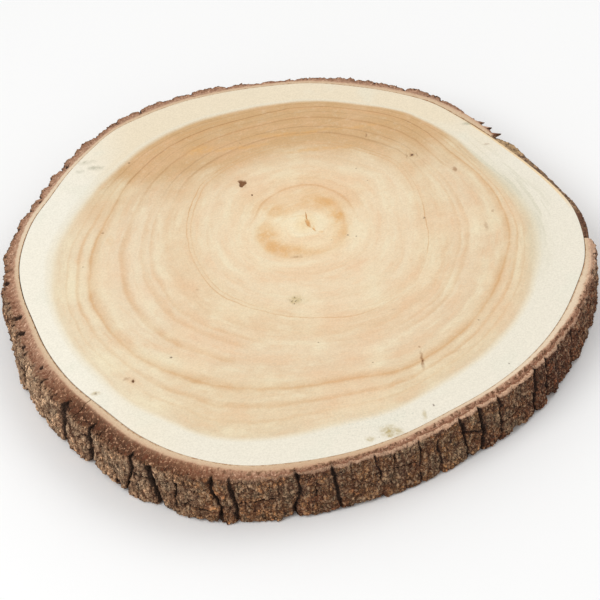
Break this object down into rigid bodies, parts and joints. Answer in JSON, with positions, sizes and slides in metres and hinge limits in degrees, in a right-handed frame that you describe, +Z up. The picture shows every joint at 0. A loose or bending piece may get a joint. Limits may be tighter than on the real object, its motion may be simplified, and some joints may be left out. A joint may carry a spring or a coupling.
{
  "type": "wood slice",
  "caption": "Flat round slice sawn across a tree trunk, with furrowed bark round its rim, used as a stand, board, tray or craft blank.",
  "frame": {"origin": "middle of the box round the slice, on its flat underside", "axes": "+Z up, square to the sawn faces; +X along the slice's widest way; -Y towards the side with the widest view of the bark"},
  "size_m": [0.3156, 0.3081, 0.033],
  "materials": {
    "sawn_wood": "sawn and lightly sanded, bare, matte",
    "bark": "rough furrowed bark, matte",
    "inner_bark": "fibrous torn inner bark, matte"
  },
  "bodies": {
    "root": {"wood_disc": "sawn_wood", "bark_front": "bark", "bark_back": "bark", "bark_strip": "inner_bark"}
  },
  "joints": []
}
